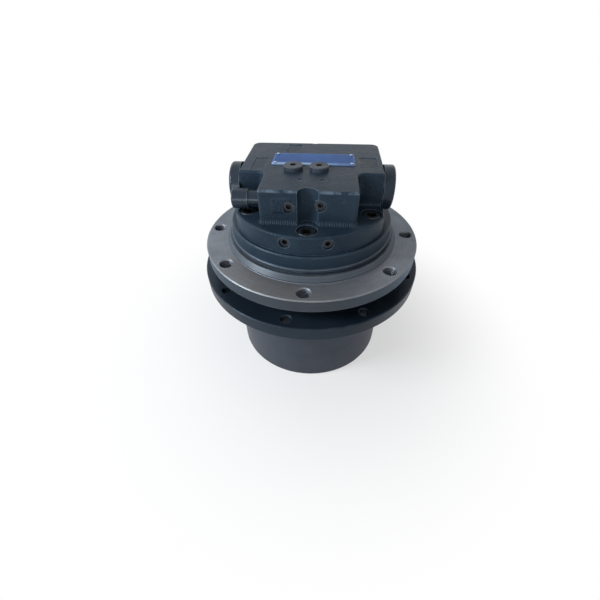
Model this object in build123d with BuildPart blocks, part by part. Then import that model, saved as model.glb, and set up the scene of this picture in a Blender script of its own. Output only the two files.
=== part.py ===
from build123d import *

from math import atan, cos, pi, radians, sin, sqrt, tan
import os

# Excavator final drive: hydraulic motor with two-stage planetary gear, standing on its rotating hub.
# Millimetres, +Z up. The origin is the centre of the hub's bottom face, and the valve block faces -Y.

# The frame flange's radius sets the size of the drive, and every other length follows from it
frame_flange_r = 125.0
size = frame_flange_r / 125.0

# Clearances, the same in every size
overcut = 1.0                             # how far a cutting body reaches past the metal
run_gap = 0.05                            # radial gap of pieces that turn or slide in a bore
seat_gap = 0.02                           # radial gap of pieces pressed or bolted into their seats
end_gap = 0.3                             # axial gap between pieces that pass each other
tooth_gap = 0.15                          # backlash at the pitch circle, for each pair of teeth

# Planetary gear train
module = 2.5 * size
pressure_angle = 25.0
addendum = 0.8                            # in modules: stub teeth
dedendum = 1.15                           # in modules
ring_teeth = 60
first_sun_teeth = 12
second_sun_teeth = 18
planet_count = 3
first_face = 18.0 * size                  # tooth width of the first stage
second_face = 20.0 * size                 # tooth width of the second stage
planet_pin_r = 8.5 * size
planet_bore_r = 12.5 * size
washer_space = 2.0 * size                 # play room beside the planets, in all
pin_head_t = 1.2 * size
carrier_t = 8.0 * size
carrier_rim = 13.0 * size                 # metal of the carrier round each planet pin
spline_wall = 2.0 * size                  # second sun's hub inside its tooth roots
stage_gap = 3.0 * size                    # between the first carrier and the second planets

# End cover and its retaining ring
snap_recess = 1.4 * size                  # how far the retaining ring lies inside the hub's mouth
snap_t = 2.2 * size
snap_bite = 2.0 * size                    # depth of the ring in its groove
snap_w = 6.0 * size
snap_opening = 16.0 * size
end_cover_t = 9.0 * size
thrust_pad_t = 2.1 * size
thrust_pad_r = 13.0 * size
oil_plug_r = 11.0 * size
oil_plug_pitch_r = 62.0 * size
oil_plug_angles = (30, 150, 270)

# Main bearings
bearing_r = 84.0 * size                   # outside of the bearings
nose_r = bearing_r - 22.0 * size          # bore of the bearings
bearing_w = 22.0 * size
bearing_rib = 4.0 * size                  # hub rib between the two bearings
rib_depth = 5.0 * size
nut_gap = 2.0 * size
nut_t = 10.0 * size
nut_r = bearing_r - 8.0 * size
nut_slot = (9.0 * size, 7.0 * size)       # length and width of its four spanner slots
roller_r = 5.0 * size
roller_l = 15.0 * size
roller_count = 16
roller_tilt = 12.0                        # degrees
cage_t = 2.0 * size
seal_floor = 2.5 * size                   # hub metal between the upper bearing and the sprocket face

# Hub with sprocket flange
hub_r = bearing_r + 14.0 * size
hub_bore_r = bearing_r + 2.0 * size
hub_edge = 3.0 * size
hub_root = 6.0 * size                     # radius under the sprocket flange
sprocket_flange_r = hub_r + 34.0 * size
sprocket_flange_t = 16.0 * size
sprocket_holes = 9
sprocket_pcd = 2 * (sprocket_flange_r - 12.0 * size)
sprocket_hole_r = 5.25 * size             # tapped M12
sprocket_phase = -98.6                    # degrees
hole_chamfer = 0.8 * size
flange_edge = 1.0 * size

# Floating seal between hub and casing
flange_space = 17.5 * size                # open gap between the two flanges
seal_ring_r = bearing_r + 7.5 * size
seal_bore_r = seal_ring_r + 6.0 * size
seal_neck_r = seal_bore_r + 6.5 * size
seal_neck_gap = 2.0 * size
seal_ring_inner_r = seal_ring_r - 8.0 * size
seal_face_r = seal_ring_r + 3.5 * size
seal_face_t = 2.5 * size
seal_ring_h = 7.0 * size
seal_back_w = 8.0 * size                  # ledge behind the upper bearing
seal_back_rise = 3.5 * size
casing_neck_r = bearing_r - 4.0 * size

# Motor casing
frame_flange_t = 15.0 * size
frame_pcd = 2 * (frame_flange_r - 12.0 * size)
frame_hole_r = 7.0 * size
frame_hole_angles = (0, 40, 90, 140, 180, 220, 270, 320)
pilot_r = frame_flange_r - 25.0 * size
pilot_h = 2.0 * size
pilot_cone_h = 4.5 * size
pilot_cone_r = pilot_r - 4.0 * size
groove_r = pilot_r - 8.0 * size
groove_w = 2.6 * size
lip_r = pilot_r - 6.4 * size
lip_h = 2.4 * size
drum_r = pilot_r - 8.5 * size
drum_h = 25.5 * size                      # frame face to cover joint
drum_edge = 1.0 * size
nose_plate_t = 23.0 * size                # floor of the motor cavity
pin_depth = 18.0 * size                   # of the second planets' pins in that floor
swash_cavity_r = 47.0 * size
brake_cavity_r = 52.0 * size
brake_ledge_depth = 48.5 * size           # from the cover joint down to the brake ledge

# Shaft, its bearing and its seal
shaft_end_r = 8.0 * size                  # carries the first sun gear
shaft_seal_r = 12.5 * size
shaft_spline_r = 14.0 * size
shaft_top_r = 10.0 * size
bearing_od_r = 26.0 * size
shaft_bearing_w = 15.0 * size
lip_seal_r = 22.0 * size
lip_seal_t = 6.0 * size
lip_seal_floor = 1.0 * size
lip_root = 4.0 * size                     # radial reach of its lip
lip_w = 3.0 * size
lip_fold = 1.0 * size
needle_t = 3.5 * size
needle_l = 15.0 * size
needle_pocket_gap = 1.0 * size
second_sun_bore_r = 9.5 * size

# Motor rotating group
barrel_r = 36.5 * size
barrel_l = 42.0 * size
piston_count = 9
piston_r = 6.8 * size
piston_pitch_r = 25.5 * size
piston_depth = 26.0 * size                # length of a piston inside the barrel
barrel_port_l = 8.0 * size
shaft_cone_l = 2.0 * size
kidney_w = 8.0 * size
kidney_angle = 58.0                       # half the sweep of a kidney port, degrees
shoe_r = 8.2 * size
shoe_t = 2.2 * size
retainer_t = 2.4 * size
retainer_rim = 1.0 * size
valve_plate_t = 4.0 * size
valve_plate_r = 37.5 * size
valve_plate_bore_r = 14.0 * size
swash_r = 43.0 * size
swash_angle = 14.0
second_speed_angle = 8.0
swash_mid_t = 17.0 * size                 # floor to the middle of the swash face
swash_bore_r = 17.0 * size
swash_ball_r = 6.0 * size
swash_ball_x = 34.0 * size
tilt_piston_r = 7.0 * size
tilt_piston_y = 36.0 * size
tilt_piston_l = 14.0 * size
tilt_piston_dome = 5.0 * size

# Parking brake
plate_t = 2.0 * size
plate_gap = 0.2 * size
friction_count = 2
friction_r = 49.0 * size
separator_inner_r = 40.0 * size
brake_piston_h = 21.0 * size
brake_spring_r = 3.2 * size
brake_wire_r = 0.6 * size
brake_spring_turns = 8.0
brake_spring_count = 6

# Rear cover flange and valve block
cover_r = drum_r - 4.0 * size
cover_flat = cover_r - 10.5 * size        # half the width across the flange's two side flats
cover_flange_t = 19.5 * size
spigot_h = 5.5 * size
cover_edge = 2.0 * size
block_h = 34.0 * size
block_front = 63.6 * size                 # front wall, towards -Y
block_front_half = 47.3 * size
block_half = 74.6 * size
block_back = 70.7 * size
notch_back = 19.5 * size                  # back wall of the two front corner notches, towards -Y
block_corner = 9.0 * size
notch_corner = 8.0 * size
block_edge = 2.0 * size
block_foot = 3.0 * size                   # radius between the block's front walls and the flange
overhang_drop = 6.0 * size                # how far the rear corners reach below the flange's top
seal_groove_r = 57.5 * size
seal_cord_r = 1.9 * size
cord_gap = 0.2
front_edge = 3.0 * size                   # radius on the block's upright front edges
recess_depth = 0.5 * size                 # shallow cast fields on the block's top
recess_sizes = ((-56.0, 3.0, 14.0, 34.0), (-23.0, 51.5, 16.0, 25.0), (59.5, 9.0, 19.0, 32.0))
recesses = [[size * length for length in field] for field in recess_sizes]   # middle x, y, width, length

# Cover screws, M12
screw_pcd = 2 * (cover_r - 13.5 * size)
screw_angles = (90, 210, 270, 330)
screw_r = 6.0 * size
screw_head_r = 9.0 * size
screw_head_h = 12.0 * size
screw_hex = 10.0 * size
screw_sink = 0.5 * size                   # head below the flange's top face
screw_l = 28.0 * size
counterbore_r = 10.25 * size
channel_r = 10.3 * size                   # upright channel in the block's front wall
channel_y = -66.0 * size
rear_pocket_up = 30.0 * size              # roof of the pocket above the rear screw, from the flange's top
rear_key_r = 6.2 * size                   # room for the hex key through that roof

# Counterbalance valve, across the block
valve_up = 12.2 * size                    # axis above the flange's top face
spool_r = 12.0 * size
spool_half = 38.0 * size
spool_land = 14.0 * size
spool_waist_r = 7.5 * size
valve_cap_r = 22.8 * size
valve_cap_in = 75.0 * size                # inner and outer faces of the two caps' heads
valve_cap_out = 86.5 * size
valve_cap_edge = 3.0 * size
valve_cap_gap = 0.4                       # between a cap's rim and the relief in the flange
valve_thread_r = 17.0 * size
valve_thread_end = 60.0 * size
valve_hex = 17.0 * size
valve_hex_depth = 7.0 * size
valve_spring_r = 10.0 * size              # outside of the coil
valve_wire_r = 1.4 * size
valve_spring_turns = 5.0

# Two-speed valve, in the left notch
shift_y = -37.5 * size
shift_up = 13.0 * size                    # axis above the flange's top face
shift_cap_r = 10.0 * size
shift_cap_in = 62.0 * size
shift_cap_out = 78.5 * size
shift_cap_edge = 1.5 * size
shift_collar_r = 8.5 * size
shift_thread_r = 8.0 * size
shift_thread_end = 35.0 * size
shift_spool_r = 6.0 * size
shift_spool_l = 44.0 * size
shift_bore_end = 30.0 * size
shift_wire_r = 0.9 * size
shift_spring_turns = 6.0
shift_hex = 10.0 * size
shift_hex_depth = 5.0 * size

# Plugs, ports and plate
top_plug_x = (-18.5 * size, 8.0 * size)
top_plug_y = -11.5 * size
top_plug_r = 10.0 * size
top_plug_h = 4.5 * size
top_plug_edge = 0.8 * size
top_plug_thread_r = 6.5 * size
top_plug_thread_l = 7.5 * size
top_plug_hex = 6.0 * size
hex_plug_r = 5.5 * size
hex_plug_l = 9.0 * size
hex_plug_size = 5.0 * size
pin_plug_x = (-8.5 * size, 13.5 * size)   # small press-in plugs over the two-speed bore
pin_plug_r = 3.0 * size
pin_plug_l = 5.0 * size
pin_plug_sink = 0.8 * size
pin_hole_edge = 0.7 * size
pin_passage_r = 1.5 * size
front_plug_x = (-18.5 * size, 12.0 * size)
front_plug_up = (17.0 * size, 19.5 * size)  # above the flange's top face
front_plug_sink = 3.0 * size
rim_plug_angles = (256, 284)
rim_plug_up = 11.5 * size                 # above the cover joint
rim_plug_sink = 2.0 * size
passage_r = 2.5 * size
kidney_passage_r = 4.0 * size
port_passage_r = 5.0 * size
port_x = 28.0 * size
port_up = 18.0 * size                     # above the flange's top face
port_r = 10.5 * size
port_l = 16.0 * size
port_face_r = 14.0 * size
port_face_depth = 1.0 * size
drain_x = -54.0 * size
drain_r = 6.6 * size
drain_l = 12.0 * size
drain_face_r = 8.0 * size
drain_foot = (-40.0 * size, 25.0 * size)
plate_x = (-43.0 * size, 45.0 * size)
plate_y = (-1.0 * size, 31.5 * size)
plate_sheet = 0.8 * size
plate_corner = 2.0 * size
rivet_r = 1.8 * size
rivet_hole_r = 1.2 * size
rivet_head_t = 0.9 * size
rivet_l = 5.0 * size
rivet_inset = 3.5 * size

# Levels, stacked from the hub's bottom face up
snap_z = snap_recess
cover_z = snap_z + snap_t
pad_z = cover_z + end_cover_t
sun_z = pad_z + thrust_pad_t + end_gap
first_top = sun_z + first_face
carrier_z = first_top + washer_space
carrier_top = carrier_z + carrier_t
second_z = carrier_top + stage_gap
second_top = second_z + second_face
nose_z = second_top + washer_space
nut_z = nose_z + nut_gap
lower_bearing_z = nut_z + nut_t
upper_bearing_z = lower_bearing_z + bearing_w + bearing_rib
shoulder_z = upper_bearing_z + bearing_w
sprocket_top = shoulder_z + seal_floor
sprocket_z = sprocket_top - sprocket_flange_t
frame_under = sprocket_top + flange_space
frame_face = frame_under + frame_flange_t
joint_z = frame_face + drum_h
flange_top = joint_z + cover_flange_t
block_top = flange_top + block_h
seal_z = (sprocket_top + frame_under) / 2
cavity_floor = nose_z + nose_plate_t
brake_ledge = joint_z - brake_ledge_depth
spigot_z = joint_z - spigot_h
barrel_top = spigot_z - valve_plate_t
barrel_z = barrel_top - barrel_l
swash_mid = cavity_floor + swash_mid_t
shoe_z = swash_mid + swash_r * tan(radians(swash_angle)) + 2 * end_gap
valve_z = flange_top + valve_up
shift_z = flange_top + shift_up
screw_seat = flange_top - screw_sink - screw_head_h

# Gear geometry
ring_pitch_r = module * ring_teeth / 2
ring_root_r = ring_pitch_r + dedendum * module
ring_outer_r = hub_bore_r - seat_gap
first_planet_teeth = (ring_teeth - first_sun_teeth) // 2
second_planet_teeth = (ring_teeth - second_sun_teeth) // 2
first_orbit_r = module * (first_sun_teeth + first_planet_teeth) / 2
second_orbit_r = module * (second_sun_teeth + second_planet_teeth) / 2
planet_angles = [-90 + 360 * k / planet_count for k in range(planet_count)]


def involute(radius, base_r):
    # Involute angle at this radius, zero at and below the base circle.
    roll = sqrt(max((radius / base_r) ** 2 - 1, 0))
    return roll - atan(roll)


def tooth_half_angle(radius, teeth, slack):
    # Half the angle that a tooth spans at this radius, with the flank radial below the base circle.
    pitch_r = module * teeth / 2
    base_r = pitch_r * cos(radians(pressure_angle))
    at_pitch = pi / (2 * teeth) - slack / (2 * pitch_r)
    return at_pitch + involute(pitch_r, base_r) - involute(radius, base_r)


def tooth_outline(teeth, inner_r, outer_r, phase, slack):
    # Closed outline of a toothed disc; the phase is the direction of one tooth's middle, in radians.
    pitch_r = module * teeth / 2
    radii = (inner_r, pitch_r, outer_r)
    points = []
    for k in range(teeth):
        middle = phase + 2 * pi * k / teeth
        for r in radii:
            a = middle - tooth_half_angle(r, teeth, slack)
            points.append((r * cos(a), r * sin(a)))
        for r in reversed(radii):
            a = middle + tooth_half_angle(r, teeth, slack)
            points.append((r * cos(a), r * sin(a)))
    return points


def gear_outline(teeth, phase):
    root_r = module * (teeth / 2 - dedendum)
    tip_r = module * (teeth / 2 + addendum)
    return tooth_outline(teeth, root_r, tip_r, phase, tooth_gap / 2)


def sun_phase(sun_teeth, planet_teeth, direction):
    # Turns the sun so that a planet in this direction meshes with it and with a ring space at angle 0.
    turns = direction * (ring_teeth + sun_teeth) / (2 * pi) - 0.5 + planet_teeth / 2
    return turns * 2 * pi / sun_teeth


def planet_phase(sun_teeth, planet_teeth, direction):
    # A gap of the planet faces the sun's tooth along the line of centres.
    ahead = (direction - sun_phase(sun_teeth, planet_teeth, direction)) * sun_teeth / (2 * pi)
    return direction + pi - (0.5 - ahead) * 2 * pi / planet_teeth


def spots(radius, angles, level=0):
    # Points on a circle about Z, from their angles in degrees.
    return [(radius * cos(radians(a)), radius * sin(radians(a)), level) for a in angles]


def ring(outer, inner, low, high, mode=Mode.ADD):
    with BuildSketch(Plane.XY.offset(low)) as section:
        Circle(outer)
        if inner:
            Circle(inner, mode=Mode.SUBTRACT)
    extrude(section.sketch, amount=high - low, mode=mode)


def turned(*points, mode=Mode.ADD):
    # A body of revolution about Z from the corners of its half section, as radius and height.
    with BuildSketch(Plane.XZ) as section:
        with BuildLine():
            Polyline(*points, close=True)
        make_face()
    revolve(section.sketch, axis=Axis.Z, mode=mode)


def side_rod(radius, start, end, y, z, mode=Mode.ADD):
    # A round bar or bore along X.
    with BuildSketch(Plane.YZ.offset(min(start, end))) as section:
        with Locations((y, z)):
            Circle(radius)
    extrude(section.sketch, amount=abs(end - start), mode=mode)


def disc(plane, radius, depth, mode=Mode.ADD):
    # A round bar or bore from this plane against its normal.
    with BuildSketch(plane) as section:
        Circle(radius)
    extrude(section.sketch, amount=-depth, mode=mode)


def coil(start, end, outer_r, wire_r, turns):
    # A spring between two seats, its wire touching both.
    way = Vector(*end) - Vector(*start)
    across = way.normalized()
    length = way.length - 2 * wire_r
    first = Vector(*start) + across * wire_r
    line = Helix(length / turns, length, outer_r - wire_r, center=first, direction=across)
    with BuildSketch(Plane(line @ 0, z_dir=line % 0)) as section:
        Circle(wire_r)
    sweep(section.sketch, path=line, is_frenet=True)


def hex_socket(plane, size, depth):
    with BuildSketch(plane) as section:
        RegularPolygon(size / 2, 6, major_radius=False)
    extrude(section.sketch, amount=-depth, mode=Mode.SUBTRACT)


def drill(start, end, radius):
    with BuildSketch(Plane(start, z_dir=Vector(*end) - Vector(*start))) as section:
        Circle(radius)
    extrude(section.sketch, amount=(Vector(*end) - Vector(*start)).length, mode=Mode.SUBTRACT)


# Hub: one casting with the sprocket flange, bored for the ring gear, the bearings and the floating seal
ring_gear_top = second_top + end_gap
rib_low = lower_bearing_z + bearing_w
sprocket_angles = [sprocket_phase + 360 * k / sprocket_holes for k in range(sprocket_holes)]
with BuildPart() as hub:
    turned(
        (hub_bore_r, 0), (hub_r, 0), (hub_r, sprocket_z), (sprocket_flange_r, sprocket_z),
        (sprocket_flange_r, sprocket_top), (seal_neck_r, sprocket_top),
        (seal_neck_r, seal_z - seal_neck_gap / 2), (seal_bore_r, seal_z - seal_neck_gap / 2),
        (seal_bore_r, sprocket_top), (bearing_r, sprocket_top), (bearing_r, upper_bearing_z),
        (bearing_r - rib_depth, upper_bearing_z), (bearing_r - rib_depth, rib_low), (bearing_r, rib_low),
        (bearing_r, ring_gear_top), (hub_bore_r, ring_gear_top),
    )
    outer_bottom = hub.edges().filter_by(GeomType.CIRCLE).filter_by(lambda e: abs(e.radius - hub_r) < 0.01)
    fillet(outer_bottom.sort_by(Axis.Z)[0], hub_edge)
    fillet(outer_bottom.sort_by(Axis.Z)[-1], hub_root)
    rims = hub.edges().filter_by(GeomType.CIRCLE).filter_by(lambda e: e.radius > sprocket_flange_r - 0.01)
    chamfer(rims, flange_edge)
    ring(hub_bore_r + snap_bite, hub_bore_r - overcut, snap_z, snap_z + snap_t, mode=Mode.SUBTRACT)
    with Locations(*spots(sprocket_pcd / 2, sprocket_angles, sprocket_top)):
        CounterSinkHole(sprocket_hole_r, sprocket_hole_r + hole_chamfer, sprocket_flange_t)

# Ring gear: both stages run in the same internal teeth
ring_spaces = tooth_outline(ring_teeth, ring_pitch_r - addendum * module, ring_root_r, 0, -tooth_gap / 2)
with BuildPart() as ring_gear:
    with BuildSketch(Plane.XY.offset(pad_z + end_gap)):
        Circle(ring_outer_r)
        with BuildLine():
            Polyline(*ring_spaces, close=True)
        make_face(mode=Mode.SUBTRACT)
    extrude(amount=ring_gear_top - pad_z - end_gap)

# End cover with its thrust pad, rubber ring, retaining ring and oil plugs
cover_seal_z = cover_z + end_cover_t / 2
with BuildPart() as end_cover:
    ring(hub_bore_r - seat_gap, 0, cover_z, pad_z)
    ring(
        hub_bore_r + overcut, hub_bore_r - 2 * (seal_cord_r + seat_gap),
        cover_seal_z - seal_cord_r - seat_gap, cover_seal_z + seal_cord_r + seat_gap, mode=Mode.SUBTRACT,
    )
    with Locations(*spots(oil_plug_pitch_r, oil_plug_angles, pad_z)):
        Hole(oil_plug_r + seat_gap, end_cover_t)

with BuildPart() as thrust_pad:
    ring(thrust_pad_r, 0, pad_z, pad_z + thrust_pad_t)

with BuildPart() as end_cover_seal:
    with BuildSketch(Plane.XZ):
        with Locations((hub_bore_r - seal_cord_r - seat_gap, cover_seal_z)):
            Circle(seal_cord_r)
    revolve(axis=Axis.Z)

with BuildPart() as retaining_ring:
    ring(hub_bore_r + snap_bite - seat_gap, hub_bore_r + snap_bite - snap_w, snap_z, snap_z + snap_t)
    with BuildSketch(Plane.XY.offset(snap_z)):
        with Locations((0, -hub_bore_r)):
            Rectangle(snap_opening, 2 * snap_w)
    extrude(amount=snap_t, mode=Mode.SUBTRACT)

with BuildPart() as oil_plugs:
    for spot in spots(oil_plug_pitch_r, oil_plug_angles, cover_z):
        underside = Plane(spot, z_dir=(0, 0, -1))
        disc(underside, oil_plug_r, end_cover_t)
        hex_socket(underside, oil_plug_r, end_cover_t / 2)


def planet_gear(sun_teeth, teeth, orbit_r, angle, low, high):
    direction = radians(angle)
    outline = gear_outline(teeth, planet_phase(sun_teeth, teeth, direction))
    with BuildPart() as gear:
        with BuildSketch(Plane((orbit_r * cos(direction), orbit_r * sin(direction), low))):
            with BuildLine():
                Polyline(*outline, close=True)
            make_face()
            Circle(planet_bore_r, mode=Mode.SUBTRACT)
        extrude(amount=high - low)
    return gear


def orbit_discs(orbit_r, outer, inner, low, high):
    # The same ring or pin at each planet's centre.
    with BuildSketch(Plane.XY.offset(low)) as section:
        with PolarLocations(orbit_r, planet_count, start_angle=planet_angles[0]):
            Circle(outer)
            if inner:
                Circle(inner, mode=Mode.SUBTRACT)
    extrude(section.sketch, amount=high - low)


# First stage
first_direction = radians(planet_angles[0])
first_turn = sun_phase(first_sun_teeth, first_planet_teeth, first_direction)
with BuildPart() as first_sun_gear:
    with BuildSketch(Plane.XY.offset(sun_z)):
        with BuildLine():
            Polyline(*gear_outline(first_sun_teeth, first_turn), close=True)
        make_face()
        Circle(shaft_end_r + seat_gap, mode=Mode.SUBTRACT)
    extrude(amount=first_face)
first_planets = [
    planet_gear(first_sun_teeth, first_planet_teeth, first_orbit_r, a, sun_z, first_top)
    for a in planet_angles
]

spline_r = module * second_sun_teeth / 2 - dedendum * module - spline_wall
pin_head_r = planet_bore_r + pin_head_t
with BuildPart() as first_carrier:
    with BuildSketch(Plane.XY.offset(carrier_z)):
        with PolarLocations(first_orbit_r, planet_count, start_angle=planet_angles[0]):
            Circle(carrier_rim)
        Circle(first_orbit_r - carrier_rim / 2)
        make_hull()
        Circle(spline_r, mode=Mode.SUBTRACT)
        with PolarLocations(first_orbit_r, planet_count, start_angle=planet_angles[0]):
            Circle(planet_pin_r + seat_gap, mode=Mode.SUBTRACT)
    extrude(amount=carrier_t)

with BuildPart() as first_planet_pins:
    orbit_discs(first_orbit_r, planet_pin_r, 0, sun_z - end_gap, carrier_top)
    orbit_discs(first_orbit_r, pin_head_r, 0, sun_z - end_gap - pin_head_t, sun_z - end_gap)

with BuildPart() as first_needle_bearings:
    orbit_discs(first_orbit_r, planet_bore_r - run_gap, planet_pin_r + seat_gap, sun_z, carrier_z)

# The second sun gear's hub is splined into the first carrier, and its teeth stand above the carrier
second_turn = sun_phase(second_sun_teeth, second_planet_teeth, first_direction)
with BuildPart() as second_sun_gear:
    with BuildSketch(Plane.XY.offset(carrier_top)):
        with BuildLine():
            Polyline(*gear_outline(second_sun_teeth, second_turn), close=True)
        make_face()
    extrude(amount=second_top - carrier_top)
    ring(spline_r - seat_gap, 0, carrier_z, carrier_top)
    ring(second_sun_bore_r, 0, carrier_z, second_top, mode=Mode.SUBTRACT)

# Second stage: its pins are pressed into the casing's nose, so its carrier is the casing itself
second_planets = [
    planet_gear(second_sun_teeth, second_planet_teeth, second_orbit_r, a, second_z, second_top)
    for a in planet_angles
]

with BuildPart() as second_planet_pins:
    orbit_discs(second_orbit_r, planet_pin_r, 0, second_z - end_gap, nose_z + pin_depth)
    orbit_discs(second_orbit_r, pin_head_r, 0, second_z - end_gap - pin_head_t, second_z - end_gap)

with BuildPart() as second_needle_bearings:
    orbit_discs(second_orbit_r, planet_bore_r - run_gap, planet_pin_r + seat_gap, second_z, nose_z)

# Motor casing: frame flange, pilot, drum, seal neck, bearing nose and the bored motor cavity
neck_low = seal_z + seal_neck_gap / 2
cone_top = frame_face + pilot_h + pilot_cone_h
lip_z = cone_top + groove_w
ball_z = cavity_floor + end_gap
seal_pocket_z = nose_z + lip_seal_floor
shaft_eye_r = shaft_seal_r + lip_root
bearing_pocket_z = cavity_floor - shaft_bearing_w
with BuildPart() as motor_casing:
    turned(
        (shaft_eye_r, nose_z), (nose_r, nose_z), (nose_r, shoulder_z), (nose_r + seal_back_w, shoulder_z),
        (casing_neck_r, shoulder_z + seal_back_rise), (casing_neck_r, frame_under),
        (seal_bore_r, frame_under), (seal_bore_r, neck_low), (seal_neck_r, neck_low),
        (seal_neck_r, frame_under), (frame_flange_r, frame_under), (frame_flange_r, frame_face),
        (pilot_r, frame_face), (pilot_r, frame_face + pilot_h), (pilot_cone_r, cone_top),
        (groove_r, cone_top), (groove_r, lip_z),
        (lip_r, lip_z), (lip_r, lip_z + lip_h), (lip_r - drum_edge, lip_z + lip_h + drum_edge),
        (drum_r, joint_z - drum_edge), (drum_r - drum_edge, joint_z), (brake_cavity_r, joint_z),
        (brake_cavity_r, brake_ledge),
        (swash_cavity_r, brake_ledge), (swash_cavity_r, cavity_floor), (bearing_od_r, cavity_floor),
        (bearing_od_r, bearing_pocket_z), (lip_seal_r, bearing_pocket_z), (lip_seal_r, seal_pocket_z),
        (shaft_eye_r, seal_pocket_z),
    )
    circles = motor_casing.edges().filter_by(GeomType.CIRCLE)
    chamfer(circles.filter_by(lambda e: e.radius > frame_flange_r - 0.01), flange_edge)
    with Locations(*spots(frame_pcd / 2, frame_hole_angles, frame_face)):
        CounterSinkHole(frame_hole_r, frame_hole_r + hole_chamfer, frame_flange_t)
    with Locations(*spots(screw_pcd / 2, screw_angles, joint_z)):
        Hole(screw_r + seat_gap, screw_l - screw_seat + joint_z + overcut)
    with Locations(*spots(second_orbit_r, planet_angles, nose_z + pin_depth)):
        Hole(planet_pin_r + seat_gap, pin_depth)
    with Locations((0, tilt_piston_y, cavity_floor)):
        Hole(tilt_piston_r + run_gap, tilt_piston_l)
    for x in (-swash_ball_x, swash_ball_x):
        with Locations((x, 0, ball_z)):
            Sphere(swash_ball_r + seat_gap, mode=Mode.SUBTRACT)
    ring(
        seal_groove_r + seal_cord_r + cord_gap, seal_groove_r - seal_cord_r - cord_gap,
        joint_z - 2 * seal_cord_r, joint_z, mode=Mode.SUBTRACT,
    )

with BuildPart() as casing_seal:
    with BuildSketch(Plane.XZ):
        with Locations((seal_groove_r, joint_z - seal_cord_r)):
            Circle(seal_cord_r - seat_gap)
    revolve(axis=Axis.Z)

# Main bearings, with the rollers inclined and the two bearings set back to back
roller_mid_r = (nose_r + bearing_r) / 2


def bearing_frames():
    # Centre height of each bearing, and the side to which its rollers lean.
    for low, lean in ((lower_bearing_z, 1), (upper_bearing_z, -1)):
        yield low, lean


def race_line(low, lean, offset):
    # Two points of a race, parallel to the roller's axis and a distance off it.
    tilt = radians(roller_tilt)
    middle = low + bearing_w / 2
    reach = bearing_w / 2 / cos(tilt)
    points = []
    for side in (-1, 1):
        r = roller_mid_r + lean * side * reach * sin(tilt) + offset / cos(tilt)
        points.append((r, middle + side * bearing_w / 2))
    return points


race_gap = roller_r + run_gap
with BuildPart() as bearing_inner_rings:
    for low, lean in bearing_frames():
        race = race_line(low, lean, -race_gap)
        turned((nose_r + seat_gap, low), race[0], race[1], (nose_r + seat_gap, low + bearing_w))

with BuildPart() as bearing_outer_rings:
    for low, lean in bearing_frames():
        race = race_line(low, lean, race_gap)
        turned((bearing_r - seat_gap, low), race[0], race[1], (bearing_r - seat_gap, low + bearing_w))


def roller_plane(low, lean, angle):
    tilt = radians(roller_tilt)
    turn = radians(angle)
    axis = Vector(lean * sin(tilt) * cos(turn), lean * sin(tilt) * sin(turn), cos(tilt))
    middle = Vector(roller_mid_r * cos(turn), roller_mid_r * sin(turn), low + bearing_w / 2)
    return Plane(middle - axis * (roller_l / 2), z_dir=axis)


roller_angles = [360 * k / roller_count for k in range(roller_count)]
with BuildPart() as bearing_rollers:
    for low, lean in bearing_frames():
        for angle in roller_angles:
            with BuildSketch(roller_plane(low, lean, angle)):
                Circle(roller_r)
            extrude(amount=roller_l)

with BuildPart() as bearing_cages:
    for low, lean in bearing_frames():
        inner = race_line(low, lean, -cage_t / 2)
        outer = race_line(low, lean, cage_t / 2)
        turned(inner[0], outer[0], outer[1], inner[1])
    for low, lean in bearing_frames():
        for angle in roller_angles:
            with BuildSketch(roller_plane(low, lean, angle).offset(-seat_gap)):
                Circle(roller_r + seat_gap)
            extrude(amount=roller_l + 2 * seat_gap, mode=Mode.SUBTRACT)

with BuildPart() as bearing_nut:
    ring(nut_r, nose_r + seat_gap, nut_z, nut_z + nut_t)
    with BuildSketch(Plane.XY.offset(nut_z)):
        with PolarLocations(nut_r, 4):
            Rectangle(*nut_slot)
    extrude(amount=nut_t, mode=Mode.SUBTRACT)

# Floating seal: two hard rings face to face, each held by a rubber ring in its housing
rubber_mid_r = (seal_ring_r + seal_bore_r) / 2
rubber_r = (seal_bore_r - seal_ring_r) / 2 - seat_gap


def face_ring(direction):
    # direction +1 is the casing's half, above the sealing face, and -1 the hub's half.
    face = seal_z + direction * run_gap / 2
    back = face + direction * seal_face_t
    end = face + direction * seal_ring_h
    turned(
        (seal_ring_inner_r, face), (seal_face_r, face), (seal_face_r, back), (seal_ring_r, back),
        (seal_ring_r, end), (seal_ring_inner_r, end),
    )


def rubber_ring(direction):
    level = seal_z + direction * (run_gap + seal_face_t + rubber_r)
    with BuildSketch(Plane.XZ) as section:
        with Locations((rubber_mid_r, level)):
            Circle(rubber_r)
    revolve(section.sketch, axis=Axis.Z)


with BuildPart() as seal_ring_casing:
    face_ring(1)
with BuildPart() as seal_ring_hub:
    face_ring(-1)
with BuildPart() as seal_rubber_casing:
    rubber_ring(1)
with BuildPart() as seal_rubber_hub:
    rubber_ring(-1)

# Shaft with its bearing, seal and top needle bearing
bearing_top = cavity_floor
journal_top = spigot_z + needle_l
with BuildPart() as motor_shaft:
    turned(
        (0, sun_z), (shaft_end_r, sun_z), (shaft_end_r, nose_z - shaft_cone_l), (shaft_seal_r, nose_z),
        (shaft_seal_r, bearing_top), (shaft_spline_r, bearing_top + shaft_cone_l),
        (shaft_spline_r, barrel_top - shaft_cone_l),
        (shaft_top_r, barrel_top), (shaft_top_r, journal_top), (0, journal_top),
    )

lip_top = seal_pocket_z + lip_seal_t
with BuildPart() as shaft_seal:
    turned(
        (shaft_seal_r + run_gap, seal_pocket_z + lip_fold), (shaft_eye_r, seal_pocket_z + seat_gap),
        (lip_seal_r - seat_gap, seal_pocket_z + seat_gap), (lip_seal_r - seat_gap, lip_top),
        (shaft_eye_r + lip_fold, lip_top), (shaft_eye_r - lip_fold, seal_pocket_z + lip_w),
    )

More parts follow.
